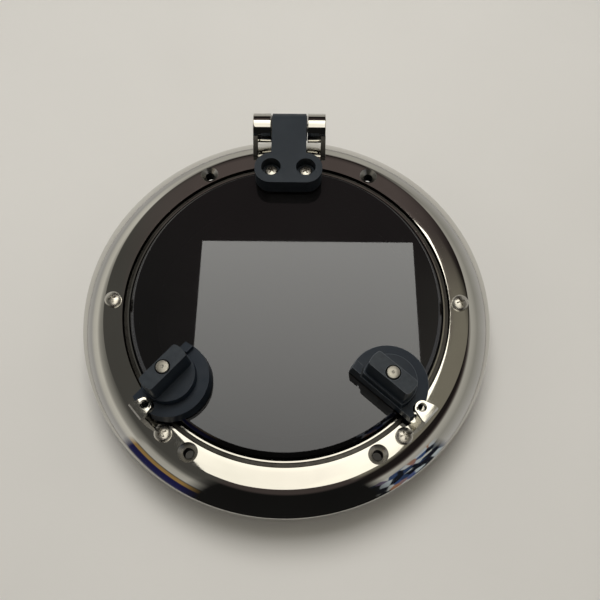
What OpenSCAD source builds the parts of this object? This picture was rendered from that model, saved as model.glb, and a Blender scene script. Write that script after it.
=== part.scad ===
// Opening porthole: a polished flange ring on a spigot, with a hinged smoked pane
// that two half-turn knobs hold under two catches.
// Millimetres. +Z points into the cabin, +Y points to the hinge, and the origin is
// on the porthole's axis in the plane where the flange seats on the hull.

/* [Flange ring] */
// Outer radius of the flange ring at its rounded lip
flange_r = 124.1; // [123:0.1:126]
// Height of the flat screw band above the hull
flat_z = 10; // [9:0.1:12]
// Inner radius of the flange ring, around the pane
ring_bore_r = 94.6; // [94.4:0.1:95]
// Outer radius of the flat screw band
flat_out_r = 109.45; // [109.4:0.05:109.8]
// Thickness of the flange ring under the flat band
ring_t = 3.2; // [3:0.1:4]
// Wall thickness of the sloping outer part
slope_t = 2.2; // [1.6:0.1:2.6]

/* [Spigot ring] */
// Outer radius of the spigot that passes through the hull
spigot_r = 98.5; // [97.5:0.1:98.8]
// Length of the spigot below the hull seat
spigot_len = 28; // [15:1:60]
// Wall thickness of the spigot
spigot_t = 3; // [2.5:0.1:4]
// Radius of the clear opening
clear_r = 80; // [76:0.5:82]

/* [Screws] */
// Radius of the circle that all the ring's screws stand on
screw_circle_r = 104.5; // [104:0.1:105]
// Radius of the through holes for the mounting screws
screw_hole_r = 2.75; // [2.5:0.05:2.85]
// Angle of the catch screws below the horizontal
catch_screw_angle = 50.3; // [50:0.1:51]

/* [Pane] */
// Radius of the pane
pane_r = 93.3; // [93:0.1:93.6]
// Thickness of the pane
pane_t = 10; // [9.5:0.1:10.5]
// Width of the chamfer round the pane's upper edge
pane_chamfer = 2.6; // [1:0.1:3]

/* [Knobs and catches] */
// Distance of the left knob's axis from the porthole's axis
left_knob_r = 82; // [81:0.1:82.2]
// Angle of the left knob below the horizontal
left_knob_angle = 39.5; // [39:0.1:40.5]
// Distance of the right knob's axis from the porthole's axis
right_knob_r = 79; // [78:0.1:81]
// Angle of the right knob below the horizontal
right_knob_angle = 43; // [42:0.1:43.5]
// Angle of both catches below the horizontal
catch_angle = 42.3; // [42:0.1:42.6]
// Direction that the left knob's straight cut faces at rest
left_cut_angle = 139; // [137:0.5:141]
// Direction that the right knob's straight cut faces at rest
right_cut_angle = 229; // [227:0.5:231]
// Radius of the knob's flange at its foot
knob_r = 23; // [22.4:0.1:23.2]
// Width of the knob's grip at its top
grip_w = 9.4; // [9.2:0.1:11]
// Height of the whole knob
knob_h = 28.4; // [24:0.1:32]

/* [Hinge] */
// Distance of the hinge axis from the porthole's axis
hinge_y = 123; // [122:0.5:126]
// Height of the hinge axis above the hull
hinge_z = 17; // [16.5:0.1:18]
// Radius of the hinge barrels
barrel_r = 9.5; // [9:0.1:9.6]
// Width of the whole hinge
hinge_w = 47.8; // [44:0.2:52]
// Width of the hinge arm
arm_w = 22.4; // [20:0.2:23]
// Radius of the hinge pin
pin_r = 3; // [2.5:0.1:3.5]

/* [Hidden] */
$fn = 96;

eps = 0.05;                                // small overrun of a cutting shape
gap = 0.3;                                 // clearance between pieces that move apart
steel = [0.82, 0.81, 0.78];
dark_plastic = [0.22, 0.25, 0.28];
rubber_black = [0.07, 0.07, 0.07];
brass_colour = [0.78, 0.64, 0.34];

// flange ring
ring_under_z = flat_z - ring_t;            // underside of the flat band
lip_w = 0.85;                              // narrow lip beside the pane
lip_z = flat_z - 1;
groove_w = 1.9;                            // groove between the lip and the flat band
groove_z = flat_z - 2.4;
crest = [flat_out_r + 0.55, flat_z - 0.25]; // where the slope begins
lip_round = 0.9;
lip_c = [flange_r - lip_round, lip_round];
slope_a0 = 15;                             // slope at the crest
// the slope is one arc from the crest that runs into the lip's rounding
crest_to_lip = lip_c - crest;
slope_dir = [sin(slope_a0), cos(slope_a0)];
slope_r = (crest_to_lip * crest_to_lip - lip_round * lip_round)
    / (-2 * lip_round - 2 * crest_to_lip * slope_dir);
slope_c = crest - slope_r * slope_dir;
slope_a1 = asin((lip_c[0] - slope_c[0]) / (slope_r - lip_round));
under_r = slope_r - slope_t;

// spigot ring
seat_flange_r = 112;                       // outer radius of the flange under the ring
ledge_z = 3.5;                             // ledge that carries the pane's seal
ledge_under_z = -3;
seal_in_r = 84;
seal_out_r = 90;
seal_groove_z = 1;

// pane
pane_z = ledge_z + gap;
pane_top_z = pane_z + pane_t;
insert_depth = 8;

// screws
pan_head_r = 4.85;
pan_head_h = 2.9;
countersink_r = 5.65;
ring_hole_r = screw_hole_r + 0.25;         // the ring's holes clear the spigot ring's
tap_r = 2.5;

// catches
catch_w = 11;                              // width along the ring
catch_t = 2.2;                             // thickness of the upright
catch_out_r = 108;                         // outer face of the upright
catch_tip_r = 97.5;                        // end of the nose
catch_hole_r = 1.95;
catch_hole_at = 100.75;
foot_t = 2.4;
foot_z = ring_under_z - foot_t;
foot_in_r = 100.4;
foot_out_r = 109;

// knobs
knob_washer_t = 1;
knob_z = pane_top_z + knob_washer_t;
flange_h = 8.2;                            // height of the knob's flange
flange_draft = 1;                          // the flange is narrower at its top
hub_r = 15;
hub_h = 6;
cut_w = 7.4;                               // distance from axis to the straight cut
hub_cut_w = 6.6;
stop_h = 3.2;                              // height of the stop block on the flange
stud_r = 3.5;
bush_r = 5.2;
stud_hole_r = 4.15;
stud_top_z = knob_z + knob_h + 0.7;
insert_r = 6;
nose_under_z = knob_z + flange_h + 0.6;
catch_top_z = nose_under_z + 3;
notch_gap = 0.8;                           // room round the catch's nose in the flange

// hinge
ear_t = 3.2;
ear_y = 103.6;                             // the ears pass through the ring here
tenon_y = 3.2;
barrel_in = arm_w / 2 + 0.8;               // inner end of each barrel
hinge_washer_t = 0.5;
hinge_bush_r = 4.6;
arm_round_r = barrel_r - 0.2;
pad_t = 1.5;
plate_z = pane_top_z + pad_t;
plate_t = 11;
plate_top_z = plate_z + plate_t;
lobe_x = 11.05;                            // half distance between the hinge screws
lobe_y = 86;
lobe_r = 10.4;
plate_front = 1.4;                         // extra length of the plate at its front
counterbore_r = 6.2;
counterbore_h = 7;
hinge_screw_r = 2;
hinge_head_r = 4.1;
hinge_head_h = 2.8;
hinge_insert_r = 3.2;
base_in_r = 100.6;                         // bracket's base between ring and spigot
base_out_r = 109.6;
base_t = 2.6;
base_half_w = hinge_w / 2;
bracket_screw_x = 15;
bracket_screw_y = 105;

// points of an arc about c, from angle a to angle b, in n steps
function arc(c, r, a, b, n) =
    [for (i = [0 : n]) c + r * [cos(a + (b - a) * i / n), sin(a + (b - a) * i / n)]];

// centre of a knob's stud: side is -1 for the left and 1 for the right
function knob_xy(side) = side < 0
    ? [-left_knob_r * cos(left_knob_angle), -left_knob_r * sin(left_knob_angle)]
    : [right_knob_r * cos(right_knob_angle), -right_knob_r * sin(right_knob_angle)];

// angle of a point below the horizontal on either side
function below(side, angle) = side > 0 ? -angle : 180 + angle;

module at_ring(angle, r) {
    rotate([0, 0, angle]) translate([r, 0, 0]) children();
}

module tube(r_out, r_in, z0, h) {
    translate([0, 0, z0]) difference() {
        cylinder(r = r_out, h = h);
        translate([0, 0, -eps]) cylinder(r = r_in, h = h + 2 * eps);
    }
}

// pan-head screw with a cross recess: the origin is under its head
module pan_screw(head_r, head_h, shank_r, shank_len) {
    dome_r = 1.5 * head_r;
    dome_a = asin(head_r * 0.86 / dome_r);
    top = [for (p = arc([0, head_h - dome_r], dome_r, 90, 90 - dome_a, 8)) p];
    difference() {
        union() {
            rotate_extrude() polygon(concat([[0, 0]], top,
                [[head_r, head_h * 0.42], [head_r, 0]]));
            translate([0, 0, -shank_len]) cylinder(r = shank_r, h = shank_len + eps);
        }
        for (a = [0, 90]) {
            rotate([0, 0, a]) translate([0, 0, head_h])
                cube([head_r * 1.15, head_r * 0.24, head_h * 1.1], center = true);
        }
        translate([0, 0, head_h * 0.35])
            cylinder(r1 = head_r * 0.16, r2 = head_r * 0.34, h = head_h);
    }
}

// holes through the flat band for the fixings
module mounting_holes(r, z0, z1) {
    for (a = [60, 120, 240, 300]) {
        at_ring(a, screw_circle_r) translate([0, 0, z0]) cylinder(r = r, h = z1 - z0);
    }
}

module small_holes(r, z0, z1) {
    for (a = [0, 180, below(1, catch_screw_angle), below(-1, catch_screw_angle)]) {
        at_ring(a, screw_circle_r) translate([0, 0, z0]) cylinder(r = r, h = z1 - z0);
    }
}

// a catch's upright as a cutting shape or as metal
module catch_upright(side, z0, z1) {
    rotate([0, 0, below(side, catch_angle)])
        translate([catch_out_r - catch_t, -catch_w / 2, z0])
            cube([catch_t, catch_w, z1 - z0]);
}

// the catch's foot: part of a ring that runs from the upright to the catch's screw
module catch_foot(side, z0, z1, grow) {
    a0 = below(side, catch_angle - 3.4 - grow);
    a1 = below(side, catch_screw_angle + 3 + grow);
    intersection() {
        tube(foot_out_r + grow, foot_in_r - grow, z0, z1 - z0);
        translate([0, 0, z0 - 1]) linear_extrude(z1 - z0 + 2)
            polygon([[0, 0], 150 * [cos(a0), sin(a0)], 150 * [cos(a1), sin(a1)]]);
    }
}

// the bracket's base: part of a ring between two parallel sides
module bracket_base(z0, h, grow) {
    intersection() {
        tube(base_out_r + grow, base_in_r - grow, z0, h);
        translate([-base_half_w - grow, 0, z0])
            cube([2 * (base_half_w + grow), base_out_r + 5, h]);
    }
}

module ear_slots(z0, h, grow) {
    for (s = [-1, 1]) {
        translate([s * (base_half_w - ear_t / 2) - ear_t / 2 - grow, ear_y - grow, z0])
            cube([ear_t + 2 * grow, tenon_y + 2 * grow, h]);
    }
}

module flange_ring() {
    outline = concat(
        [[ring_bore_r, ring_under_z], [ring_bore_r, lip_z], [ring_bore_r + lip_w, lip_z],
         [ring_bore_r + lip_w + 0.25, groove_z],
         [ring_bore_r + lip_w + 0.25 + groove_w, groove_z],
         [ring_bore_r + lip_w + 0.9 + groove_w, flat_z - 0.1],
         [ring_bore_r + lip_w + 1.35 + groove_w, flat_z], [flat_out_r, flat_z]],
        arc(slope_c, slope_r, 90 - slope_a0, 90 - slope_a1, 20),
        arc(lip_c, lip_round, 80 - slope_a1, -90, 7),
        arc(slope_c, under_r, asin(-slope_c[1] / under_r),
            asin((ring_under_z - slope_c[1]) / under_r), 8));
    color(steel) difference() {
        rotate_extrude($fn = 180) polygon(outline);
        mounting_holes(ring_hole_r, ring_under_z - eps, flat_z + 2);
        for (a = [60, 120, 240, 300]) {
            at_ring(a, screw_circle_r) translate([0, 0, flat_z - (countersink_r - ring_hole_r)])
                cylinder(r1 = ring_hole_r, r2 = countersink_r + 1.5,
                         h = countersink_r - ring_hole_r + 1.5);
        }
        small_holes(tap_r + 0.2, ring_under_z - eps, flat_z + 2);
        for (side = [-1, 1]) catch_upright(side, ring_under_z - eps, flat_z + 4);
        ear_slots(ring_under_z - eps, ring_t + 3, 0);
    }
}

module spigot_ring() {
    in_r = spigot_r - spigot_t;
    color([0.62, 0.63, 0.64]) difference() {
        rotate_extrude($fn = 180) polygon([
            [in_r, -spigot_len], [spigot_r - 1, -spigot_len], [spigot_r, 1 - spigot_len],
            [spigot_r, 0], [seat_flange_r, 0], [seat_flange_r, ring_under_z],
            [ring_bore_r, ring_under_z], [ring_bore_r, ledge_z], [seal_out_r, ledge_z],
            [seal_out_r, seal_groove_z], [seal_in_r, seal_groove_z], [seal_in_r, ledge_z],
            [clear_r + 0.8, ledge_z], [clear_r, ledge_z - 0.8], [clear_r, ledge_under_z + 1.5],
            [clear_r + 1.5, ledge_under_z], [in_r, ledge_under_z - 3]]);
        mounting_holes(screw_hole_r, -eps, ring_under_z + 1);
        small_holes(tap_r, 1.2, ring_under_z + 1);
        for (side = [-1, 1]) catch_foot(side, foot_z, ring_under_z + 1, 0.15);
        bracket_base(ring_under_z - base_t, base_t + 1, 0.15);
        for (s = [-1, 1]) {
            translate([s * bracket_screw_x, bracket_screw_y, -eps])
                cylinder(r = 1.7, h = ring_under_z);
            translate([s * bracket_screw_x, bracket_screw_y, -eps])
                cylinder(r1 = 3.4, r2 = 1.7, h = 1.7);
        }
    }
}

module pane_gasket() {
    mid_r = (seal_in_r + seal_out_r) / 2;
    lip_r = (seal_out_r - seal_in_r) / 2 - 0.1;
    color(rubber_black) rotate_extrude($fn = 180) polygon(concat(
        [[seal_in_r + 0.1, seal_groove_z], [seal_out_r - 0.1, seal_groove_z]],
        [for (i = [0 : 12]) [mid_r + lip_r * cos(15 * i),
                             ledge_z - 0.9 + 0.85 * sin(15 * i)]]));
}

module frame_screws() {
    color(steel) for (a = [0, 180]) {
        at_ring(a, screw_circle_r) translate([0, 0, flat_z]) rotate([0, 0, 20])
            pan_screw(pan_head_r, pan_head_h, tap_r - 0.02, flat_z - 1.6);
    }
}

module catch_screws() {
    color(steel) for (side = [-1, 1]) {
        at_ring(below(side, catch_screw_angle), screw_circle_r)
            translate([0, 0, flat_z]) rotate([0, 0, 65])
                pan_screw(pan_head_r, pan_head_h, tap_r - 0.02, flat_z - 1.6);
    }
}

// catch: a foot under the ring, an upright through it and a drilled nose
module catch(side) {
    nose_c = catch_tip_r + catch_w / 2 - 1.2;
    color(steel) union() {
        difference() {
            catch_foot(side, foot_z, ring_under_z, 0);
            at_ring(below(side, catch_screw_angle), screw_circle_r)
                cylinder(r = tap_r, h = flat_z);
        }
        rotate([0, 0, below(side, catch_angle)]) difference() {
            union() {
                translate([catch_out_r - catch_t, -catch_w / 2, foot_z])
                    cube([catch_t, catch_w, catch_top_z - foot_z]);
                translate([0, 0, nose_under_z])
                    linear_extrude(catch_top_z - nose_under_z) nose_outline(0, catch_out_r - 1);
            }
            translate([catch_hole_at, 0, nose_under_z - eps])
                cylinder(r = catch_hole_r, h = 4, $fn = 48);
            nose_chamfer();
        }
    }
}

// plan of the nose, grown by a gap: a rounded tip that widens to the upright
module nose_outline(grow, out_r) {
    tip_r = 4.3;
    side_a = 124;
    edge = catch_w / 2 + grow;
    polygon(concat(
        arc([catch_tip_r + tip_r, 0], tip_r + grow, side_a, 360 - side_a, 20),
        [[catch_out_r - catch_t, -edge], [out_r, -edge], [out_r, edge],
         [catch_out_r - catch_t, edge]]));
}

// sloping edge along the top of the catch's outer face
module nose_chamfer() {
    translate([catch_out_r, 0, catch_top_z]) rotate([0, 45, 0])
        cube([1.3, catch_w + 2, 1.3], center = true);
}

module catch_left() { catch(-1); }
module catch_right() { catch(1); }

// bracket: a base under the ring, two ears through it and two barrels
module hinge_bracket() {
    color(steel) difference() {
        union() {
            bracket_base(ring_under_z - base_t, base_t, 0);
            for (s = [-1, 1]) {
                ear(s);
                barrel(s);
            }
        }
        translate([-hinge_w, hinge_y, hinge_z]) rotate([0, 90, 0])
            cylinder(r = pin_r, h = 2 * hinge_w);
        for (s = [-1, 1]) {
            translate([s * bracket_screw_x, bracket_screw_y, 0])
                cylinder(r = 1.5, h = flat_z);
        }
    }
}

// ear: an upright plate from the base, up through the ring to the barrel
module ear(s) {
    x0 = s * (hinge_w / 2 - ear_t / 2) - ear_t / 2;
    y1 = ear_y + tenon_y;
    under_z = flat_z + 1.9;
    translate([x0, 0, 0]) rotate([90, 0, 90]) linear_extrude(ear_t) polygon([
        [ear_y, ring_under_z - base_t], [y1, ring_under_z - base_t], [y1, under_z],
        [y1 + 5.6, under_z], [hinge_y - 6.2, hinge_z - 5.8], [hinge_y - 1, hinge_z - 7],
        [hinge_y - 1, hinge_z + 7], [hinge_y - 7.6, hinge_z + 4.2], [ear_y, flat_z + 2.4]]);
}

module barrel(s) {
    len = hinge_w / 2 - barrel_in;
    x0 = s > 0 ? barrel_in : -hinge_w / 2;
    translate([x0, hinge_y, hinge_z]) rotate([0, 90, 0]) rotate_extrude()
        polygon([[0, 0], [barrel_r - 0.4, 0], [barrel_r, 0.4], [barrel_r, len - 0.4],
                 [barrel_r - 0.4, len], [0, len]]);
}

module hinge_bracket_screws() {
    color(steel) for (s = [-1, 1]) {
        translate([s * bracket_screw_x, bracket_screw_y, 0]) {
            cylinder(r = 1.48, h = ring_under_z - 0.1);
            cylinder(r1 = 3.3, r2 = 1.48, h = 1.7);
        }
    }
}

module hinge_pin() {
    color(steel) translate([-hinge_w / 2 + 0.2, hinge_y, hinge_z]) rotate([0, 90, 0])
        cylinder(r = pin_r, h = hinge_w - 0.4);
}

module glass_pane() {
    color([0.16, 0.16, 0.16, 0.9]) difference() {
        rotate_extrude($fn = 180) polygon([
            [0, pane_z], [pane_r - 0.6, pane_z], [pane_r, pane_z + 0.6],
            [pane_r, pane_top_z - pane_chamfer], [pane_r - pane_chamfer, pane_top_z],
            [0, pane_top_z]]);
        for (side = [-1, 1]) {
            translate(knob_xy(side)) translate([0, 0, pane_top_z - insert_depth])
                cylinder(r = insert_r, h = insert_depth + 1);
            translate([side * lobe_x, lobe_y, pane_top_z - insert_depth])
                cylinder(r = hinge_insert_r, h = insert_depth + 1);
        }
    }
}

// plan of the hinge arm's plate: a bar with round ends over the two screws
module plate_bar(h, shrink) {
    r = lobe_r - shrink;
    linear_extrude(h) union() {
        for (s = [-1, 1]) {
            for (dy = [0, -plate_front]) {
                translate([s * lobe_x, lobe_y + dy]) circle(r = r);
            }
        }
        translate([-lobe_x, lobe_y - plate_front - r]) square([2 * lobe_x, 2 * r + plate_front]);
        translate([-lobe_x - r, lobe_y - plate_front]) square([2 * (lobe_x + r), plate_front]);
    }
}

module hinge_arm() {
    color(dark_plastic) difference() {
        union() {
            translate([0, 0, plate_z]) plate_bar(plate_t, 0);
            translate([-arm_w / 2, lobe_y, plate_z])
                cube([arm_w, hinge_y - lobe_y, plate_top_z - plate_z]);
            translate([-arm_w / 2, hinge_y, hinge_z]) rotate([0, 90, 0])
                cylinder(r = plate_top_z - hinge_z, h = arm_w);
        }
        translate([-arm_w, hinge_y, hinge_z]) rotate([0, 90, 0])
            cylinder(r = hinge_bush_r, h = 2 * arm_w);
        for (s = [-1, 1]) {
            translate([s * lobe_x, lobe_y, plate_top_z - counterbore_h])
                cylinder(r = counterbore_r, h = counterbore_h + 1);
            translate([s * lobe_x, lobe_y, plate_z - 1])
                cylinder(r = hinge_screw_r + 0.2, h = plate_t);
        }
    }
}

// two bushes with a little room between them, pressed into the arm
module hinge_bushes() {
    len = arm_w / 2 - 0.5;
    color(brass_colour) for (x0 = [-arm_w / 2, 0.5]) {
        translate([x0, hinge_y, hinge_z]) rotate([0, 90, 0])
            tube(hinge_bush_r, pin_r + 0.05, 0, len);
    }
}

module hinge_washers() {
    color([0.85, 0.85, 0.82]) for (x0 = [-arm_w / 2 - hinge_washer_t, arm_w / 2]) {
        translate([x0, hinge_y, hinge_z]) rotate([0, 90, 0])
            tube(barrel_r - 1.4, pin_r + 0.1, 0, hinge_washer_t);
    }
}

module hinge_pad() {
    color(rubber_black) difference() {
        translate([0, 0, pane_top_z]) plate_bar(pad_t, 0.6);
        for (s = [-1, 1]) {
            translate([s * lobe_x, lobe_y, pane_top_z - 1])
                cylinder(r = hinge_screw_r + 0.2, h = pad_t + 2);
        }
        // the pad ends where the pane's chamfer begins
        difference() {
            translate([-40, 60, pane_top_z - 1]) cube([80, 60, pad_t + 2]);
            translate([0, 0, pane_top_z - 2])
                cylinder(r = pane_r - pane_chamfer, h = pad_t + 4, $fn = 180);
        }
    }
}

module hinge_screws() {
    head_z = plate_top_z - counterbore_h;
    color(steel) for (s = [-1, 1]) {
        translate([s * lobe_x, lobe_y, head_z]) rotate([0, 0, 30 * s])
            pan_screw(hinge_head_r, hinge_head_h, hinge_screw_r,
                      head_z - pane_top_z + insert_depth - 1);
    }
}

module threaded_insert(r_out, r_in) {
    translate([0, 0, pane_top_z - insert_depth]) difference() {
        cylinder(r = r_out, h = insert_depth);
        translate([0, 0, 1]) cylinder(r = r_in, h = insert_depth);
    }
}

module hinge_inserts() {
    color(brass_colour) for (s = [-1, 1]) {
        translate([s * lobe_x, lobe_y, 0]) threaded_insert(hinge_insert_r, hinge_screw_r);
    }
}

module stud(side) {
    z0 = pane_top_z - insert_depth + 1;
    color([0.70, 0.68, 0.64]) translate(knob_xy(side)) translate([0, 0, z0])
        rotate_extrude() polygon([
            [0, 0], [stud_r, 0], [stud_r, stud_top_z - z0 - 0.5],
            [stud_r - 0.5, stud_top_z - z0], [0, stud_top_z - z0]]);
}

module stud_left() { stud(-1); }
module stud_right() { stud(1); }

module insert(side) {
    color(brass_colour) translate(knob_xy(side)) threaded_insert(insert_r, stud_r);
}

module insert_left() { insert(-1); }
module insert_right() { insert(1); }

module knob_washers() {
    color([0.85, 0.85, 0.82]) for (side = [-1, 1]) {
        translate(knob_xy(side))
            tube(6.4, stud_r, pane_top_z, knob_washer_t - gap);
    }
}

// sets a knob on its stud, with its straight cut facing its direction at rest
module knob_place(side) {
    translate(knob_xy(side)) rotate([0, 0, side < 0 ? left_cut_angle : right_cut_angle])
        translate([0, 0, knob_z]) children();
}

// Knob: its straight cut faces +X here. A thick flange slides under the catch, a hub
// stands on it, and a grip bar runs across the hub along Y.
module knob_body() {
    top_r = knob_r - flange_draft;
    hub_z = flange_h + hub_h;
    grip_draft = 0.7;
    difference() {
        union() {
            difference() {
                rotate_extrude($fn = 120) polygon([
                    [0, 0], [knob_r, 0], [knob_r, 0.8], [top_r, flange_h - 0.5],
                    [top_r - 0.5, flange_h], [0, flange_h]]);
                translate([cut_w, -40, -1]) cube([60, 80, flange_h + 2]);
            }
            difference() {
                rotate_extrude($fn = 120) polygon([
                    [0, flange_h - 1], [hub_r + 0.3, flange_h - 1], [hub_r, hub_z - 0.6],
                    [hub_r - 0.6, hub_z], [0, hub_z]]);
                translate([hub_cut_w, -40, -1]) cube([60, 80, hub_z + 2]);
            }
            grip(hub_z, grip_draft);
            stop_block(top_r);
        }
        translate([0, 0, -1]) cylinder(r = bush_r, h = hub_z - 1.5);
        translate([0, 0, -1]) cylinder(r = stud_hole_r, h = knob_h + 2);
    }
}

// grip bar with ends that follow a circle and a small chamfer along its top
module grip(z0, draft) {
    end_r = hub_r - 1.9;
    h = knob_h - z0;
    w = grip_w / 2;
    intersection() {
        translate([0, 0, z0 - 1]) rotate_extrude($fn = 96) polygon([
            [0, 0], [end_r + draft, 0], [end_r, h + 0.5], [end_r - 0.5, h + 1], [0, h + 1]]);
        rotate([90, 0, 0]) translate([0, z0 - 1, -40]) linear_extrude(80) polygon([
            [-w - draft, 0], [w + draft, 0], [w, h + 0.5], [w - 0.5, h + 1],
            [-w + 0.5, h + 1], [-w, h + 0.5]]);
    }
}

// block at one end of the straight cut that stops the knob against the catch
module stop_block(top_r) {
    intersection() {
        tube(top_r - 0.3, hub_r + 1.2, flange_h - 1, stop_h + 1);
        translate([cut_w - 5, -40, 0]) cube([5, 40, 30]);
    }
}

// Relief that the catch's nose passes through when the pane opens with the knobs at rest
module knob(side) {
    color(dark_plastic) difference() {
        knob_place(side) knob_body();
        rotate([0, 0, below(side, catch_angle)]) translate([0, 0, knob_z - 1])
            linear_extrude(flange_h + 1.2) nose_outline(notch_gap, catch_out_r + 20);
    }
}

module knob_left() { knob(-1); }
module knob_right() { knob(1); }

module knob_bush(side) {
    color(brass_colour) knob_place(side)
        tube(bush_r, stud_r + 0.05, 0, flange_h + hub_h - 2.5);
}

module knob_bush_left() { knob_bush(-1); }
module knob_bush_right() { knob_bush(1); }

flange_ring();
spigot_ring();
pane_gasket();
frame_screws();
catch_left();
catch_right();
catch_screws();
hinge_bracket();
hinge_bracket_screws();
hinge_pin();
glass_pane();
hinge_arm();
hinge_bushes();
hinge_washers();
hinge_pad();
hinge_screws();
hinge_inserts();
stud_left();
stud_right();
insert_left();
insert_right();
knob_washers();
knob_left();
knob_right();
knob_bush_left();
knob_bush_right();
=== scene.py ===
"""Looks for the opening porthole: every visible piece is built or finished here."""
from math import acos, asin, atan2, cos, degrees, hypot, pi, radians, sin

import bmesh
import bpy
from mathutils import Matrix, Vector


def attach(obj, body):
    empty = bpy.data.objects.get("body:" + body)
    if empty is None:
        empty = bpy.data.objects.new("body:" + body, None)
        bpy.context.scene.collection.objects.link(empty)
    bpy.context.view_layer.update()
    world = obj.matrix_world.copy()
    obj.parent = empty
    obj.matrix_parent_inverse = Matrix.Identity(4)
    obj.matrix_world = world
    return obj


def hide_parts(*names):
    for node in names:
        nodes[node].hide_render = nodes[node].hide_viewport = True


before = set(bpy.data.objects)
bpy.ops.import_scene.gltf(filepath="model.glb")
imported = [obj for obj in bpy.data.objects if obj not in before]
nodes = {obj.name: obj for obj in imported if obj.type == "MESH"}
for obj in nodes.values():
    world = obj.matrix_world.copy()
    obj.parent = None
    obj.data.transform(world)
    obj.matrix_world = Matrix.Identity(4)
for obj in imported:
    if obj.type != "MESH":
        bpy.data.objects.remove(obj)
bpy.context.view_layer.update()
MM = 0.001
MIX_A, MIX_B, MIX_RESULT = 6, 7, 2  # a Mix node's colour sockets
SHADE_TO_LIGHT_HEIGHTS = (0.026, 0.043)  # metres: the knobs are painted paler from here up to here, painted light on the high grip and painted shade on the low flange


# ---------------------------------------------------------------- materials
def new_material(name):
    """An empty node material: its tree, its Principled shader and its object coordinates."""
    mat = bpy.data.materials.new(name)
    mat.use_nodes = True
    tree = mat.node_tree
    shader = tree.nodes["Principled BSDF"]
    coords = tree.nodes.new("ShaderNodeTexCoord").outputs["Object"]
    return mat, tree, shader, coords


def noise(tree, coords, scale, detail):
    """A noise value over the object."""
    tex = tree.nodes.new("ShaderNodeTexNoise")
    tex.inputs["Scale"].default_value = scale
    tex.inputs["Detail"].default_value = detail
    tree.links.new(coords, tex.inputs["Vector"])
    return tex.outputs["Fac"]


def spread(tree, value, low, high, src=(0.3, 0.7)):
    """Maps a value from the src range to low-high, and holds it there beyond the ends."""
    node = tree.nodes.new("ShaderNodeMapRange")
    node.inputs["From Min"].default_value = src[0]
    node.inputs["From Max"].default_value = src[1]
    node.inputs["To Min"].default_value = low
    node.inputs["To Max"].default_value = high
    tree.links.new(value, node.inputs["Value"])
    return node.outputs["Result"]


def colours(tree, value, stops):
    """A colour ramp: stops are (place, colour)."""
    ramp = tree.nodes.new("ShaderNodeValToRGB")
    while len(ramp.color_ramp.elements) < len(stops):
        ramp.color_ramp.elements.new(0.5)
    for element, (place, colour) in zip(ramp.color_ramp.elements, stops):
        element.position = place
        element.color = (*colour, 1.0)
    tree.links.new(value, ramp.inputs["Fac"])
    return ramp.outputs["Color"]


def bump(tree, shader, value, strength, distance, under=None):
    """Relief of the given depth in metres, on top of another relief if one is given."""
    node = tree.nodes.new("ShaderNodeBump")
    node.inputs["Strength"].default_value = strength
    node.inputs["Distance"].default_value = distance
    tree.links.new(value, node.inputs["Height"])
    if under:
        tree.links.new(under, node.inputs["Normal"])
    tree.links.new(node.outputs["Normal"], shader.inputs["Normal"])
    return node.outputs["Normal"]


def mix(tree, a, b, factor):
    """Colour a where the factor is 0 and colour b where it is 1; either may be constant."""
    node = tree.nodes.new("ShaderNodeMix")
    node.data_type = "RGBA"
    tree.links.new(factor, node.inputs["Factor"])
    for value, socket in ((a, node.inputs[MIX_A]), (b, node.inputs[MIX_B])):
        if isinstance(value, tuple):
            socket.default_value = (*value, 1.0)
        else:
            tree.links.new(value, socket)
    return node.outputs[MIX_RESULT]


def metal(name, dark, light, rough, wave=0.0, grain=0.0, grain_scale=2500):
    """Polished or satin metal with smudges, faint waviness and fine grain."""
    mat, tree, shader, coords = new_material(name)
    shader.inputs["Metallic"].default_value = 1.0
    smudge = noise(tree, coords, 28, 4)
    tree.links.new(colours(tree, smudge, [(0.3, dark), (0.7, light)]),
                   shader.inputs["Base Color"])
    fine = noise(tree, coords, 260, 5)
    tree.links.new(spread(tree, fine, rough[0], rough[1]), shader.inputs["Roughness"])
    normal = None
    if wave:
        normal = bump(tree, shader, noise(tree, coords, 45, 1), wave, 0.0004)
    if grain:
        bump(tree, shader, noise(tree, coords, grain_scale, 2), grain, 0.00004, normal)
    return mat


def plastic(name, dark, light, rough, grain=0.25, grain_scale=2200, ior=1.5, lit_high_stops=None):
    """Moulded plastic: mottled colour, fine grain, and, if given stops for it, painted paler
    with height: painted light up high, painted shade low down.
    """
    mat, tree, shader, coords = new_material(name)
    shader.inputs["IOR"].default_value = ior
    shade = colours(tree, noise(tree, coords, 60, 5), [(0.3, dark), (0.72, light)])
    if lit_high_stops:
        # painted light: paler with height, so the low parts read as in shade
        place = tree.nodes.new("ShaderNodeSeparateXYZ")
        tree.links.new(coords, place.inputs["Vector"])
        height_light = spread(tree, place.outputs["Z"], 0, 1, SHADE_TO_LIGHT_HEIGHTS)
        lit_high_tint = colours(tree, noise(tree, coords, 400, 4), lit_high_stops)
        shade = mix(tree, shade, lit_high_tint, height_light)
    tree.links.new(shade, shader.inputs["Base Color"])
    tree.links.new(spread(tree, noise(tree, coords, 150, 4), rough[0], rough[1]),
                   shader.inputs["Roughness"])
    bump(tree, shader, noise(tree, coords, grain_scale, 2), grain, 0.00006)
    return mat


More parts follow.
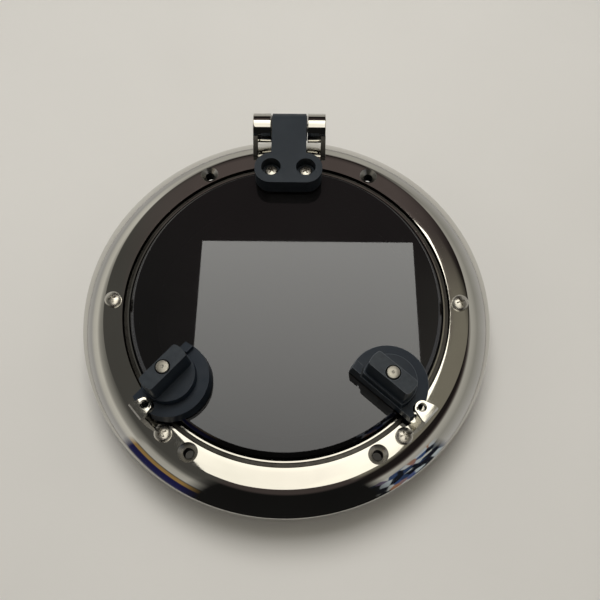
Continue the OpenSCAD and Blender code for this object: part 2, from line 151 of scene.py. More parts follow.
polished = metal("polished_steel", (0.60, 0.59, 0.56), (0.66, 0.65, 0.62), (0.025, 0.06),
                 wave=0.012)
catch_metal = metal("catch_steel", (0.60, 0.59, 0.56), (0.68, 0.67, 0.63), (0.05, 0.12),
                    wave=0.03)
screw_metal = metal("screw_steel", (0.56, 0.54, 0.50), (0.72, 0.70, 0.66), (0.2, 0.34),
                    wave=0.04, grain=0.2, grain_scale=1400)
stud_metal = metal("stud_steel", (0.36, 0.345, 0.31), (0.60, 0.585, 0.54), (0.34, 0.5),
                   wave=0.2, grain=0.9, grain_scale=900)
turned_metal = metal("turned_steel", (0.30, 0.295, 0.28), (0.42, 0.41, 0.39), (0.22, 0.36),
                     wave=0.1, grain=0.4, grain_scale=1800)
# near-black steel: painted shade in the ring's groove and on the catches' sides and the ears'
# edges
shaded_steel = metal("painted_shade_steel", (0.035, 0.034, 0.032), (0.075, 0.072, 0.068), (0.25, 0.4),
                   wave=0.05, grain=0.2, grain_scale=1500)
brass = metal("bush_brass", (0.60, 0.42, 0.18), (0.74, 0.55, 0.27), (0.2, 0.35), grain=0.2)
alloy = plastic("anodised_alloy", (0.008, 0.008, 0.009), (0.014, 0.014, 0.015), (0.45, 0.6),
                grain=0.1, ior=1.12)
rubber = plastic("gasket_rubber", (0.012, 0.012, 0.012), (0.02, 0.02, 0.02), (0.6, 0.75),
                 grain=0.3, grain_scale=1500)
nylon = plastic("washer_nylon", (0.035, 0.035, 0.034), (0.055, 0.055, 0.053), (0.4, 0.5),
                grain=0.1)
# the knobs' plastic: its higher parts are painted paler, painted light over painted shade low on
# the knob
dark_plastic = plastic("dark_plastic", (0.0065, 0.012, 0.021), (0.010, 0.017, 0.028),
                       (0.34, 0.44), ior=1.33,
                       lit_high_stops=[(0.3, (0.020, 0.026, 0.034)), (0.72, (0.030, 0.038, 0.047))])
# a paler plastic on the knobs' bevelled edges: painted highlight lines along the rims
edge_highlight_plastic = plastic("painted_edge_highlight", (0.075, 0.088, 0.102), (0.125, 0.14, 0.158), (0.3, 0.4),
                       ior=1.45)
arm_plastic = plastic("arm_plastic", (0.017, 0.023, 0.031), (0.025, 0.032, 0.041),
                      (0.42, 0.55), grain=0.4, grain_scale=1500, ior=1.42)


def smoked(name, ior, alpha, dark, light):
    """Smoked acrylic: nearly black, with a faint mottled film on its polish."""
    mat, tree, shader, coords = new_material(name)
    shader.inputs["IOR"].default_value = ior
    shader.inputs["Alpha"].default_value = alpha
    shader.inputs["Specular Tint"].default_value = (0.76, 0.79, 0.87, 1.0)
    film = noise(tree, coords, 14, 4)
    tree.links.new(colours(tree, film, [(0.3, dark), (0.7, light)]), shader.inputs["Base Color"])
    tree.links.new(spread(tree, noise(tree, coords, 35, 3), 0.008, 0.02),
                   shader.inputs["Roughness"])
    bump(tree, shader, noise(tree, coords, 9, 0), 0.002, 0.0002)
    return mat


pane_top = smoked("smoked_pane", 1.9, 0.93, (0.0035, 0.003, 0.003), (0.006, 0.0055, 0.0055))
pane_under = smoked("smoked_pane_underside", 1.05, 0.3, (0.004, 0.0035, 0.0035),
                    (0.007, 0.006, 0.006))


# ---------------------------------------------------------------- mesh tools
def link(name, mesh, material):
    """Puts a mesh in the scene as an object with one material."""
    obj = bpy.data.objects.new(name, mesh)
    bpy.context.scene.collection.objects.link(obj)
    mesh.materials.clear()
    mesh.materials.append(material)
    return obj


def from_bmesh(name, bm, material):
    """An object from a bmesh, its faces turned outward."""
    bmesh.ops.recalc_face_normals(bm, faces=bm.faces)
    mesh = bpy.data.meshes.new(name)
    bm.to_mesh(mesh)
    bm.free()
    return link(name, mesh, material)


def lathe(name, outline, material, steps=192, place=None):
    """Turns a closed outline of (radius, height) in millimetres round the Z axis."""
    bm = bmesh.new()
    rings = []
    for r, z in outline:
        if r < 1e-6:
            rings.append([bm.verts.new((0, 0, z * MM))])
        else:
            rings.append([bm.verts.new((r * MM * cos(2 * pi * i / steps),
                                        r * MM * sin(2 * pi * i / steps), z * MM))
                          for i in range(steps)])
    for a, b in zip(rings, rings[1:] + rings[:1]):
        for i in range(steps):
            j = (i + 1) % steps
            if len(a) == 1 and len(b) == 1:
                break
            if len(a) == 1:
                bm.faces.new((a[0], b[i], b[j]))
            elif len(b) == 1:
                bm.faces.new((a[i], a[j], b[0]))
            else:
                bm.faces.new((a[i], a[j], b[j], b[i]))
    if place:
        bmesh.ops.transform(bm, matrix=place, verts=bm.verts)
    return from_bmesh(name, bm, material)


def prism(name, outline, z0, z1, material, top=None, place=None):
    """A prism on an outline in millimetres, or a loft to a second outline at its top."""
    top = top or outline
    bm = bmesh.new()
    low = [bm.verts.new((x * MM, y * MM, z0 * MM)) for x, y in outline]
    high = [bm.verts.new((x * MM, y * MM, z1 * MM)) for x, y in top]
    bm.faces.new(low[::-1])
    bm.faces.new(high)
    for i in range(len(low)):
        j = (i + 1) % len(low)
        bm.faces.new((low[i], low[j], high[j], high[i]))
    if place:
        bmesh.ops.transform(bm, matrix=place, verts=bm.verts)
    return from_bmesh(name, bm, material)


def arc(c, r, a, b, n):
    """Points on an arc about c, from angle a to angle b in degrees, in n steps."""
    return [(c[0] + r * cos(radians(a + (b - a) * i / n)),
             c[1] + r * sin(radians(a + (b - a) * i / n))) for i in range(n + 1)]


def combine(obj, tools, how):
    """Cuts or joins other closed meshes, which are then removed."""
    for tool in tools:
        mod = obj.modifiers.new("combine", "BOOLEAN")
        mod.operation = how
        mod.solver = "EXACT"
        mod.object = tool
    bpy.context.view_layer.update()
    shape = obj.evaluated_get(bpy.context.evaluated_depsgraph_get())
    done = bpy.data.meshes.new_from_object(shape)
    obj.modifiers.clear()
    material = obj.data.materials[0]
    obj.data = done
    done.materials.clear()
    done.materials.append(material)
    for tool in tools:
        bpy.data.objects.remove(tool)
    return obj


def merge(name, parts, material):
    """Several meshes as one object."""
    bm = bmesh.new()
    for part in parts:
        bm.from_mesh(part.data)
        bpy.data.objects.remove(part)
    mesh = bpy.data.meshes.new(name)
    bm.to_mesh(mesh)
    bm.free()
    return link(name, mesh, material)


def finish_piece(obj, body, replaces=(), angle=32, width=0.0, segments=3, edge=None):
    """Softens a piece's edges, smooths it and hands it to its body."""
    obj.data.polygons.foreach_set("use_smooth", [True] * len(obj.data.polygons))
    if width:
        bevel = obj.modifiers.new("edges", "BEVEL")
        bevel.width = width * MM
        bevel.segments = segments
        bevel.limit_method = "ANGLE"
        bevel.angle_limit = radians(angle)
        bevel.harden_normals = True
        bevel.miter_outer = "MITER_ARC"
        if edge:
            obj.data.materials.append(edge)
            bevel.material = len(obj.data.materials) - 1
    else:
        obj.data.set_sharp_from_angle(angle=radians(angle))
    if replaces:
        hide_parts(*replaces)
    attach(obj, body)


def spin_z(angle, x=0.0, y=0.0, z=0.0):
    """A shift in millimetres, then a turn about the porthole's axis."""
    return Matrix.Rotation(radians(angle), 4, "Z") @ Matrix.Translation(Vector((x, y, z)) * MM)


def at(x, y, z, turn=0.0):
    """A turn about the piece's own axis, then a shift in millimetres."""
    return Matrix.Translation(Vector((x, y, z)) * MM) @ Matrix.Rotation(radians(turn), 4, "Z")


# ---------------------------------------------------------------- sizes, in millimetres
FLAT_Z = 10.0  # top of the flange's flat band
SHEET = 3.2  # thickness of the flat band
FEET_TOP = 6.79  # the catches' and bracket's feet lie just under the flange
SCREW_R = 104.5
HOLE_ANGLES = (60, 120, 240, 300)
CATCH_A = 42.3
CATCH_SCREW_A = 50.3
NOSE_Z = (23.6, 26.6)
UPRIGHT_IN, UPRIGHT_OUT = 105.8, 108.0
CATCH_HALF = 5.5
HINGE_Y = 123.0
HINGE_Z = 17.0
ARM_SCREW = (11.05, 86.0)
PANE_TOP = 13.8
PLATE_Z = PANE_TOP + 1.5
PLATE_TOP = PLATE_Z + 11
COUNTERBORE = 7
KNOB_Z = 14.8
LEFT = (-82 * cos(radians(39.5)), -82 * sin(radians(39.5)))
RIGHT = (79 * cos(radians(43)), -79 * sin(radians(43)))


def below(side, angle):
    """An angle below the X axis, on the right (side 1) or the left (side -1)."""
    return -angle if side > 0 else 180 + angle


# ---------------------------------------------------------------- flange ring
def ring_outline():
    """Low lip, groove, slightly domed flat band, tight turn, long slope and rounded rim."""
    under_z, lip_z, groove_z = FLAT_Z - SHEET, FLAT_Z - 1.0, FLAT_Z - 2.4
    band_in, band_step, band_dip = 98.35, 0.35, 0.055
    fall_in, fall_step, fall = 105.2, 0.5, 0.1
    turn_r, turn_from, turn_in = 3.2, radians(3), 109.2
    rim_r, rim_c, edge = 0.9, (123.2, 0.9), (110.0, FLAT_Z - 0.25)
    dx, dz, a0 = rim_c[0] - edge[0], rim_c[1] - edge[1], radians(15)
    slope_r = ((dx * dx + dz * dz - rim_r * rim_r)
               / (-2 * rim_r - 2 * (dx * sin(a0) + dz * cos(a0))))
    slope_c = (edge[0] - slope_r * sin(a0), edge[1] - slope_r * cos(a0))
    a1 = degrees(asin((rim_c[0] - slope_c[0]) / (slope_r - rim_r)))
    under_r = slope_r - 2.2

    points = [(94.6, under_z), (94.6, lip_z), (95.45, lip_z), (95.7, groove_z), (97.6, groove_z)]
    points += [(band_in + band_step * i, FLAT_Z - band_dip * (1 - i / 8) ** 2) for i in range(9)]
    points += [(103, FLAT_Z), (fall_in, FLAT_Z)]
    points += [(fall_in + fall_step * i, FLAT_Z - fall * (i / 8) ** 2) for i in range(1, 8)]
    points += [(turn_in - turn_r * sin(turn_from) + turn_r * sin(radians(t)),
                FLAT_Z - fall - turn_r * (cos(turn_from) - cos(radians(t))))
               for t in (3, 5, 7, 9, 11, 13)]
    points += arc(slope_c, slope_r, 90 - 15, 90 - a1, 48)
    points += arc(rim_c, rim_r, 83 - a1, -90, 14)
    points += arc(slope_c, under_r, degrees(asin(-slope_c[1] / under_r)),
                  degrees(asin((under_z - slope_c[1]) / under_r)), 14)
    return points


def near_hole(point):
    """Distance in millimetres from the nearest countersunk hole's axis."""
    return min(hypot(point.x / MM - SCREW_R * cos(radians(a)),
                     point.y / MM - SCREW_R * sin(radians(a))) for a in HOLE_ANGLES)


ring = lathe("flange_ring_polished", ring_outline(), polished, 360)
countersink = [(0, 5), (3.0, 5), (3.0, 7.35), (7.15, 11.5), (7.15, 13), (0, 13)]
combine(ring, [lathe("cutter", countersink, polished, 64, spin_z(a, SCREW_R))
               for a in HOLE_ANGLES], "DIFFERENCE")
ring.data.materials.append(turned_metal)
ring.data.materials.append(shaded_steel)
for face in ring.data.polygons:
    reach = hypot(face.center.x, face.center.y) / MM
    if 95.5 < reach < 98.3 and face.center.z > 7.2 * MM:
        face.material_index = 2  # groove, in painted shade
    elif near_hole(face.center) < 6.0 and face.normal.z < 0.95 and face.center.z > 6.85 * MM:
        face.material_index = 1  # countersinks
finish_piece(ring, "frame", ["flange_ring"], angle=20)


# ---------------------------------------------------------------- screws
def rectangle(half_x, half_y):
    """Corners of a rectangle about the origin."""
    return [(-half_x, -half_y), (half_x, -half_y), (half_x, half_y), (-half_x, half_y)]


def pan_screw(head_r, head_h, shank_r, shank_len, place, dome_ratio=2.4):
    """Pan-head screw with a tapered cross recess; the origin is under its head."""
    dome_r, side_h = dome_ratio * head_r, head_h * 0.38
    dome_a = degrees(asin(head_r * 0.84 / dome_r))
    dome = arc((0, head_h - dome_r), dome_r, 90 - dome_a, 90, 18)
    outline = [(0, -shank_len), (shank_r - 0.5, -shank_len), (shank_r, 0.5 - shank_len)]
    outline += [(shank_r, 0), (head_r - 0.12, 0), (head_r, 0.12), (head_r, side_h)]
    outline += [(head_r - 0.08, side_h + (dome[0][1] - side_h) * 0.6)]
    outline += dome[:-1] + [(0, head_h)]
    head = lathe("pan", outline, screw_metal, 64)
    half, arm = head_r * 0.1, head_r * 0.62
    slot_foot, slot_top = rectangle(arm * 0.45, half * 0.8), rectangle(arm, half)
    tools = [prism("cutter", slot_foot, head_h * 0.25, head_h + 0.4, screw_metal, slot_top,
                   Matrix.Rotation(radians(turn), 4, "Z")) for turn in (0, 90)]
    centre = [(0, head_h * 0.2), (half, head_h * 0.35), (head_r * 0.2, head_h + 0.2),
              (0, head_h + 0.2)]
    tools.append(lathe("cutter", centre, screw_metal, 24))
    combine(head, tools, "DIFFERENCE")
    head.data.transform(place)
    return head


def flange_screw(angle, turn):
    """An M5 pan-head screw on the flat band, its cross turned about its own axis."""
    return pan_screw(4.85, 2.9, 2.48, 8.4, spin_z(angle, SCREW_R, 0, FLAT_Z)
                     @ Matrix.Rotation(radians(turn), 4, "Z"))


heads = [flange_screw(a, 20) for a in (0, 180)]
finish_piece(merge("side_screws", heads, screw_metal), "frame",
             ["frame_screws"], 28)
heads = [flange_screw(below(s, CATCH_SCREW_A), 65) for s in (-1, 1)]
finish_piece(merge("catch_pan_screws", heads, screw_metal), "frame",
             ["catch_screws"], 28)


# ---------------------------------------------------------------- catches
def nose_outline(grow, out_x):
    """Plan of a catch's nose on the X axis: a round tip and straight sides out to out_x."""
    edge, tip_r = CATCH_HALF + grow, 4.3
    points = arc((97.5 + tip_r, 0), tip_r + grow, 124, 236, 24)
    return points + [(UPRIGHT_IN, -edge), (out_x, -edge), (out_x, edge), (UPRIGHT_IN, edge)]


def sector(r0, r1, a0, a1, n=16):
    """Plan of a piece of a ring between two radii and two angles."""
    return arc((0, 0), r1, a0, a1, n) + arc((0, 0), r0, a1, a0, n)


def catch(name, node, side):
    """Drilled nose on an upright, with a foot under the flange; built on X, then turned."""
    top, foot_z, wide = NOSE_Z[1], 4.4, 9
    nose = prism(name, nose_outline(0, 107), *NOSE_Z, catch_metal)
    plan = [(UPRIGHT_IN, -CATCH_HALF), (UPRIGHT_OUT, -CATCH_HALF), (UPRIGHT_OUT, CATCH_HALF),
            (UPRIGHT_IN, CATCH_HALF)]
    upright = prism("upright", plan, foot_z, top, catch_metal)
    combine(nose, [upright], "UNION")
    hole = lathe("cutter", [(0, 20), (1.95, 20), (1.95, 25.9), (2.15, 26.12), (2.6, 26.3),
                            (3.0, 26.7), (3.0, 30), (0, 30)], catch_metal, 64,
                 at(100.75, 0, 0))
    bend_r = 48
    bend = [(UPRIGHT_IN - bend_r * sin(radians(t)), top - bend_r + bend_r * cos(radians(t)))
            for t in range(13)]
    fall = prism("cutter", bend + [(94, 30), (UPRIGHT_IN, 30)], -wide, wide, catch_metal,
                 place=Matrix(((1, 0, 0, 0), (0, 0, -1, 0), (0, 1, 0, 0), (0, 0, 0, 1))))
    edge = (Matrix.Translation(Vector((UPRIGHT_OUT, 0, top)) * MM)
            @ Matrix.Rotation(radians(45), 4, "Y"))
    chamfer = prism("cutter", rectangle(0.62, wide), -0.62, 0.62, catch_metal, place=edge)
    combine(nose, [fall, hole, chamfer], "DIFFERENCE")
    nose.data.transform(Matrix.Rotation(radians(below(side, CATCH_A)), 4, "Z"))
    a0, a1 = below(side, CATCH_A - 3.4), below(side, CATCH_SCREW_A + 3)
    foot = prism("foot", sector(100.4, 109, a0, a1), foot_z, FEET_TOP, catch_metal)
    whole = merge(name, [nose, foot], catch_metal)
    whole.data.materials.append(shaded_steel)
    for face in whole.data.polygons:
        outside = hypot(face.center.x, face.center.y) > (UPRIGHT_OUT - 0.1) * MM
        if abs(face.normal.z) < 0.3 and not outside:
            face.material_index = 1  # sides, in painted shade
    finish_piece(whole, "frame", [node], 30, 0.22)


catch("catch_left_polished", "catch_left", -1)
catch("catch_right_polished", "catch_right", 1)


# ---------------------------------------------------------------- hinge bracket
def along_x(x0):
    """Places a lathed piece's axis on the hinge axis, starting at x0."""
    return (Matrix.Translation(Vector((x0, HINGE_Y, HINGE_Z)) * MM)
            @ Matrix.Rotation(radians(90), 4, "Y"))


def side_place(x0):
    """Stands an outline in (Y, Z) upright, extruded along X from x0."""
    return (Matrix.Translation(Vector((x0, 0, 0)) * MM)
            @ Matrix(((0, 0, 1, 0), (1, 0, 0, 0), (0, 1, 0, 0), (0, 0, 0, 1))))


bracket_half, barrel_in, ear_in, base_z = 23.9, 12.0, 20.7, 4.2
barrel_r, barrel_len, round_r, pin_r = 9.5, 11.9, 0.5, 3.0
quarter = [radians(t) for t in range(0, 91, 15)]
barrel = [(pin_r, 0.0)]
barrel += [(barrel_r - round_r + round_r * sin(t), round_r - round_r * cos(t)) for t in quarter]
barrel += [(barrel_r - round_r + round_r * cos(t), barrel_len - round_r + round_r * sin(t))
           for t in quarter]
barrel += [(pin_r, barrel_len)]
ear = [(103.6, base_z), (106.8, base_z), (106.8, 11.9), (112.4, 11.9), (116.8, 11.2),
       (122, 10), (122, 24), (115.4, 21.2), (103.6, 12.4)]
pieces = []
for side in (-1, 1):
    pieces.append(lathe("barrel", barrel, polished, 160,
                        along_x(barrel_in if side > 0 else -bracket_half)))
    pieces.append(prism("ear", ear, 0, 3.2, polished,
                        place=side_place(ear_in if side > 0 else -bracket_half)))
base_in, base_out = 100.6, 109.6
a_in, a_out = degrees(acos(bracket_half / base_in)), degrees(acos(bracket_half / base_out))
pieces.append(prism("base", arc((0, 0), base_out, a_out, 180 - a_out, 20)
                    + arc((0, 0), base_in, 180 - a_in, a_in, 20), base_z, FEET_TOP, polished))
bracket = merge("hinge_bracket_polished", pieces, polished)
bracket.data.materials.append(shaded_steel)
for face in bracket.data.polygons:
    on_ear = abs(face.center.x) > (ear_in - 0.1) * MM and face.center.y < 117 * MM
    if on_ear and abs(face.normal.x) < 0.5:
        face.material_index = 1  # the ears' edges, in painted shade
finish_piece(bracket, "frame", ["hinge_bracket"], 35, 0.25)


# ---------------------------------------------------------------- pane
pane_under_z, pane_r = 3.8, 93.3
outline = [(0, pane_under_z), (60, pane_under_z), (92.7, pane_under_z), (pane_r, 4.4),
           (pane_r, 11.2), (93.05, 11.5), (90.9, 13.66), (90.72, 13.77), (90.5, PANE_TOP),
           (90.3, PANE_TOP), (60, PANE_TOP), (0, PANE_TOP)]
pane = lathe("pane_smoked", outline, pane_top, 360)
pane.data.materials.append(pane_under)
for face in pane.data.polygons:
    if face.center.z < 11.4 * MM:
        face.material_index = 1  # rim and underside
finish_piece(pane, "pane", ["glass_pane"], 24)


# ---------------------------------------------------------------- hinge arm
def plate_outline():
    """Plan of the arm's plate: round ends about the two screws."""
    (x, y), r, front = ARM_SCREW, 10.4, 1.4
    return (arc((x, y - front), r, -90, 0, 20) + arc((x, y), r, 0, 90, 20)
            + arc((-x, y), r, 90, 180, 20) + arc((-x, y - front), r, 180, 270, 20))


arm = prism("hinge_arm_moulded", plate_outline(), PLATE_Z, PLATE_TOP, arm_plastic)
end_r, beam_half, beam_front, beam_z = PLATE_TOP - HINGE_Z, 11.2, 80, PLATE_Z + 0.4
profile = [(beam_front, beam_z), (HINGE_Y - 8.6, beam_z)]
profile += arc((HINGE_Y, HINGE_Z), end_r, 190, 450, 48) + [(beam_front, PLATE_TOP)]
beam = prism("beam", profile, 0, 2 * beam_half, arm_plastic, place=side_place(-beam_half))
combine(arm, [beam], "UNION")
counterbore = [(0, PLATE_TOP - COUNTERBORE), (6.2, PLATE_TOP - COUNTERBORE),
               (6.2, PLATE_TOP + 5), (0, PLATE_TOP + 5)]
combine(arm, [lathe("cutter", counterbore, dark_plastic, 64,
                    at(side * ARM_SCREW[0], ARM_SCREW[1], 0)) for side in (-1, 1)],
        "DIFFERENCE")
finish_piece(arm, "pane", ["hinge_arm"], 34, 0.7, 4)

heads = [pan_screw(4.1, 2.8, 2, 12.5, at(side * ARM_SCREW[0], ARM_SCREW[1],
                                         PLATE_TOP - COUNTERBORE, 30 * side), 3.4)
         for side in (-1, 1)]
finish_piece(merge("arm_screws", heads, screw_metal), "pane",
             ["hinge_screws"], 28)


# ---------------------------------------------------------------- knobs
def d_outline(r, cut, n=72):
    """Plan of a disc with a straight cut at x = cut."""
    a = degrees(acos(cut / r))
    return arc((0, 0), r, a, 360 - a, n)


def bar(r, half, corner=1.8, n=6):
    """Plan of the grip: ends on a circle, with rounded corners."""
    y = (r - corner) * cos(asin((half - corner) / (r - corner)))
    turn = degrees(atan2(half - corner, y))
    ends = []
    for sx, sy, start in ((1, -1, -90 + turn), (1, 1, 0), (-1, 1, 90 + turn), (-1, -1, 180)):
        ends += arc((sx * (half - corner), sy * y), corner, start, start + 90 - turn, n)
        if sx == sy:
            ends += arc((0, 0), r, start + 90 - turn, start + 90 + turn, 8)[1:-1]
    return ends


def knob(name, node, body, centre, cut_angle, catch_side):
    """Flange with a straight cut, hub, grip bar and stop block, as in the CAD."""
    place = at(*centre, KNOB_Z, cut_angle)
    cut, hub_cut = 7.4, 6.6
    flange = prism("flange", d_outline(23.0, cut), 0, 8.2, dark_plastic, d_outline(22.0, cut),
                   place)
    hub = prism("hub", d_outline(15.3, hub_cut), 8, 14.2, dark_plastic,
                d_outline(15.0, hub_cut), place)
    grip = prism("grip", bar(14.3, 5.4), 14, 28.4, dark_plastic, bar(13.7, 4.7), place)
    stop = [(2.4, -21.2), (cut - 0.02, -20.4), (cut - 0.02, -14.4), (2.4, -16.4)]
    block = prism("block", stop, 8, 11.4, dark_plastic, place=place)
    notch = prism("cutter", nose_outline(0.8, 125), KNOB_Z - 1, KNOB_Z + 8.3, dark_plastic,
                  place=Matrix.Rotation(radians(below(catch_side, CATCH_A)), 4, "Z"))
    combine(flange, [notch], "DIFFERENCE")
    bore = lathe("cutter", [(0, 10), (4.15, 10), (4.15, 60), (0, 60)], dark_plastic, 64,
                 at(*centre, 0))
    combine(grip, [bore], "DIFFERENCE")
    whole = merge(name, [flange, hub, grip, block], dark_plastic)
    # the bevels take the paler plastic: a painted highlight on the knobs' edges
    finish_piece(whole, body, [node], 34, 0.38, 3, edge_highlight_plastic)


knob("knob_left_moulded", "knob_left", "knob_l", LEFT, 139, -1)
knob("knob_right_moulded", "knob_right", "knob_r", RIGHT, 229, 1)

STUD_TOP = 43.9
stud_outline = [(0, 6.8), (3.5, 6.8), (3.5, STUD_TOP - 0.5), (3.35, STUD_TOP - 0.15),
                (3.0, STUD_TOP), (0.9, STUD_TOP), (0.5, STUD_TOP - 0.25), (0, STUD_TOP - 0.3)]
for node, centre in (("stud_left", LEFT), ("stud_right", RIGHT)):
    stud = lathe(node + "_turned", stud_outline, stud_metal, 64, at(*centre, 0))
    finish_piece(stud, "pane", [node], 30)


# ---------------------------------------------------------------- CAD pieces that stay
# their meshes aren't changed, and each takes one of the materials above
STAY = {"spigot_ring": alloy, "pane_gasket": rubber, "hinge_bracket_screws": screw_metal,
        "hinge_pin": screw_metal, "hinge_bushes": brass, "hinge_washers": nylon,
        "hinge_pad": rubber, "hinge_inserts": brass, "insert_left": brass,
        "insert_right": brass, "knob_washers": nylon, "knob_bush_left": brass,
        "knob_bush_right": brass}
for name, material in STAY.items():
    for slot in nodes[name].material_slots:
        slot.material = material


# ---------------------------------------------------------------- floor and backdrop
def floor_material():
    """Pale matt table top with a faint mottle."""
    mat, tree, shader, coords = new_material("pale_table")
    tree.links.new(colours(tree, noise(tree, coords, 3.5, 5), [(0.3, (0.735, 0.725, 0.70)),
                                                               (0.7, (0.775, 0.765, 0.74))]),
                   shader.inputs["Base Color"])
    tree.links.new(spread(tree, noise(tree, coords, 25, 3), 0.5, 0.62),
                   shader.inputs["Roughness"])
    bump(tree, shader, noise(tree, coords, 320, 3), 0.06, 0.0003)
    return mat


def backdrop_material():
    """Pale wall that shows its own colour and takes no light."""
    mat, tree, shader, coords = new_material("pale_wall")
    shader.inputs["Base Color"].default_value = (0.0, 0.0, 0.0, 1.0)
    shader.inputs["Specular IOR Level"].default_value = 0.0
    tree.links.new(colours(tree, noise(tree, coords, 0.8, 3), [(0.3, (0.54, 0.53, 0.505)),
                                                               (0.7, (0.60, 0.59, 0.565))]),
                   shader.inputs["Emission Color"])
    shader.inputs["Emission Strength"].default_value = 1.0
    return mat


FLOOR_Z = -28 * MM - 0.0005  # half a millimetre below the spigot's end
FLOOR_HALF, BACKDROP_R = 3.0, 2.9  # metres
bm = bmesh.new()
bmesh.ops.create_grid(bm, x_segments=8, y_segments=8, size=FLOOR_HALF)
bmesh.ops.translate(bm, vec=(0, 0, FLOOR_Z), verts=bm.verts)
floor = from_bmesh("floor", bm, floor_material())

# a pale dome behind everything, which doesn't light or mirror in the piece
bm = bmesh.new()
bmesh.ops.create_uvsphere(bm, u_segments=64, v_segments=32, radius=BACKDROP_R)
dome = from_bmesh("backdrop", bm, backdrop_material())
dome.data.polygons.foreach_set("use_smooth", [True] * len(dome.data.polygons))
dome.visible_diffuse = dome.visible_glossy = False
dome.visible_shadow = dome.visible_transmission = False


# ---------------------------------------------------------------- lights
def area(name, size, centre, target, colour, power, glossy=True):
    """A rectangular light that faces its target and doesn't show to the camera."""
    data = bpy.data.lights.new(name, "AREA")
    data.shape = "RECTANGLE"
    data.size, data.size_y = size
    data.color = colour
    data.energy = power
    obj = bpy.data.objects.new(name, data)
    obj.location = centre
    aim = Vector(target) - Vector(centre)
    obj.rotation_euler = aim.to_track_quat("-Z", "Y").to_euler()
    obj.visible_glossy = glossy
    obj.visible_camera = False
    bpy.context.scene.collection.objects.link(obj)
    return obj


# the ceiling panel: its near half is even, and its far half grows brighter
PANEL_X, PANEL_Y, PANEL_Z = 0.0175, 0.065, 1.01
PANEL_SIZE = (0.495, 1.03)
PANEL_RADIANCE = 1.37
panel = area("overhead_panel", PANEL_SIZE, (PANEL_X, PANEL_Y, PANEL_Z),
             (PANEL_X, PANEL_Y + 0.0001, 0.0), (1.0, 0.955, 0.83),
             PANEL_RADIANCE * pi * PANEL_SIZE[0] * PANEL_SIZE[1])
panel.data.use_nodes = True
glow = panel.data.node_tree
spot = glow.nodes.new("ShaderNodeSeparateXYZ")
across = glow.nodes.new("ShaderNodeNewGeometry").outputs["Parametric"]
glow.links.new(across, spot.inputs["Vector"])
glow.links.new(spread(glow, spot.outputs["Y"], 1.0, 2.2, (0.476, 1.0)),
               glow.nodes["Emission"].inputs["Strength"])
area("soft_fill", (1.1, 1.1), (-0.12, 0.75, 1.7), (0, 0, 0), (1.0, 0.988, 0.982), 18,
     glossy=False)


# ---------------------------------------------------------------- the room, as reflected
world = bpy.data.worlds.new("room")
bpy.context.scene.world = world
world.use_nodes = True
wt = world.node_tree
sky = wt.nodes["Background"]
ray = wt.nodes.new("ShaderNodeTexCoord").outputs["Generated"]
split = wt.nodes.new("ShaderNodeSeparateXYZ")
wt.links.new(ray, split.inputs["Vector"])
east, north, up = split.outputs["X"], split.outputs["Y"], split.outputs["Z"]


def calc(how, a, b=0.0):
    """A maths node on two values, either of which may be a number."""
    node = wt.nodes.new("ShaderNodeMath")
    node.operation = how
    for value, socket in ((a, node.inputs[0]), (b, node.inputs[1])):
        if isinstance(value, (int, float)):
            socket.default_value = value
        else:
            wt.links.new(value, socket)
    return node.outputs[0]


def by_height(stops):
    """A side of the room from the floor (0) up to straight overhead (1)."""
    return colours(wt, up, [(place, tuple(level * k for k in tint))
                            for place, level, tint in stops])


def from_to(value, start, end):
    """0 where the value is at start, 1 where it is at end."""
    return spread(wt, value, 0, 1, (start, end))


# side_x and side_y are the ray's direction in plan, from -1 to 1
flat = calc("SQRT", calc("MAXIMUM", calc("SUBTRACT", 1.0, calc("MULTIPLY", up, up)), 0.0004))
side_x, side_y = calc("DIVIDE", east, flat), calc("DIVIDE", north, flat)

# pale walls, a dim ceiling beyond the panel, and a dark side at the front
warm, cool, brown = (1.0, 0.965, 0.86), (1.0, 0.975, 0.93), (1.0, 0.80, 0.74)
amber, black = (1.0, 0.92, 0.72), (0.010, 0.012, 0.018)
left = by_height([(0.0, 0.50, cool), (0.2, 0.40, cool), (0.33, 0.60, warm),
                  (0.46, 0.66, warm), (0.55, 0.34, warm), (0.68, 0.20, warm),
                  (0.77, 0.075, warm), (1.0, 0.075, warm)])
right = by_height([(0.0, 0.50, cool), (0.42, 0.32, warm), (0.56, 0.44, warm),
                   (0.64, 0.48, warm), (0.70, 0.06, brown), (0.74, 0.014, brown),
                   (0.85, 0.016, brown), (0.89, 0.22, amber), (1.0, 0.22, amber)])
back = by_height([(0.0, 0.30, cool), (0.1, 0.46, warm), (0.36, 0.48, warm),
                  (0.41, 0.03, brown), (0.5, 0.016, brown), (0.73, 0.02, brown),
                  (0.79, 0.10, brown), (1.0, 0.10, brown)])
front = by_height([(0.0, 0.010, cool), (0.82, 0.009, cool), (0.86, 0.064, brown),
                   (1.0, 0.064, brown)])

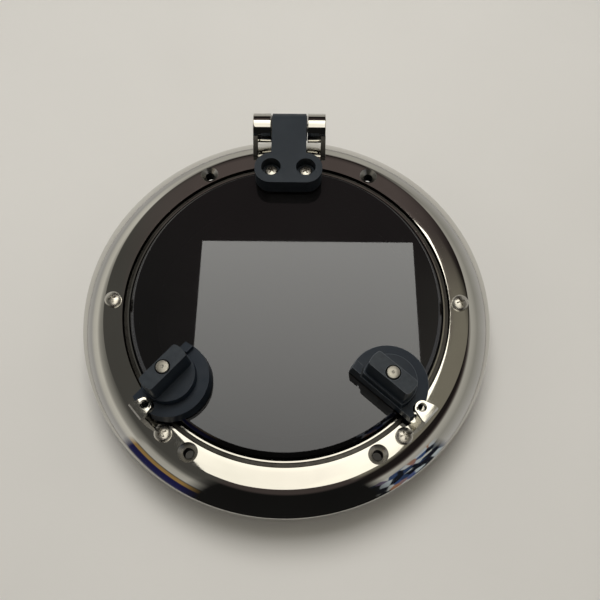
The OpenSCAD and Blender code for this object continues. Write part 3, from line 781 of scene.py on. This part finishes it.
# blue and yellow things low on the left, and a shelf of small things low on the right
low_left = by_height([(0.0, 1.0, (0.10, 0.10, 0.13)), (0.05, 1.0, (0.018, 0.018, 0.075)),
                      (0.27, 1.0, (0.014, 0.014, 0.06)), (0.29, 1.0, (0.34, 0.21, 0.07)),
                      (0.40, 1.0, (0.30, 0.19, 0.07)), (0.42, 0.03, warm),
                      (0.46, 0.5, warm), (0.60, 0.45, warm), (0.70, 0.12, warm),
                      (0.8, 0.075, warm), (1.0, 0.075, warm)])
shelf = wt.nodes.new("ShaderNodeTexVoronoi")
shelf.inputs["Scale"].default_value = 9.0
stretch = wt.nodes.new("ShaderNodeMapping")
stretch.inputs["Scale"].default_value = (1.6, 1.6, 0.8)
wt.links.new(ray, stretch.inputs["Vector"])
wt.links.new(stretch.outputs["Vector"], shelf.inputs["Vector"])
cell = wt.nodes.new("ShaderNodeSeparateColor")
wt.links.new(shelf.outputs["Color"], cell.inputs["Color"])
low_right = colours(wt, cell.outputs["Red"],
                    [(0.0, black), (0.42, (0.012, 0.014, 0.02)),
                     (0.45, (0.42, 0.47, 0.50)), (0.70, (0.50, 0.50, 0.46)),
                     (0.73, (0.42, 0.20, 0.06)), (0.84, (0.05, 0.09, 0.22)),
                     (1.0, (0.02, 0.03, 0.05))])
low_right = mix(wt, low_right, right, from_to(up, 0.52, 0.56))

room = mix(wt, back, left, from_to(side_x, -0.25, -0.55))
room = mix(wt, room, right, from_to(side_x, 0.25, 0.55))
room = mix(wt, room, low_left, calc("MULTIPLY", from_to(side_x, -0.3, -0.4),
                                    from_to(side_y, -0.40, -0.46)))
room = mix(wt, room, low_right, calc("MULTIPLY", from_to(side_x, 0.3, 0.4),
                                     from_to(side_y, -0.42, -0.48)))
room = mix(wt, room, front, from_to(side_y, -0.76, -0.84))
wt.links.new(room, sky.inputs["Color"])
sky.inputs["Strength"].default_value = 1.0
bpy.context.scene.view_settings.view_transform = "Standard"


# ---------------------------------------------------------------- camera
CAMERA_AT = Vector((0.00830, -0.15505, 0.37046))  # metres
CAMERA_AROUND, CAMERA_TILT, CAMERA_ROLL = 0.892, 23.403, -0.251  # degrees
camera_data = bpy.data.cameras.new("camera")
camera_data.lens = 39.07
camera_data.sensor_width = 36
camera_data.clip_start = 0.01
camera = bpy.data.objects.new("camera", camera_data)
around = Matrix.Rotation(radians(CAMERA_AROUND), 4, "Z")
camera.matrix_world = (Matrix.Translation(around @ CAMERA_AT) @ around
                       @ Matrix.Rotation(radians(CAMERA_TILT), 4, "X")
                       @ Matrix.Rotation(radians(CAMERA_ROLL), 4, "Z"))
bpy.context.scene.collection.objects.link(camera)
bpy.context.scene.camera = camera

bpy.context.view_layer.update()
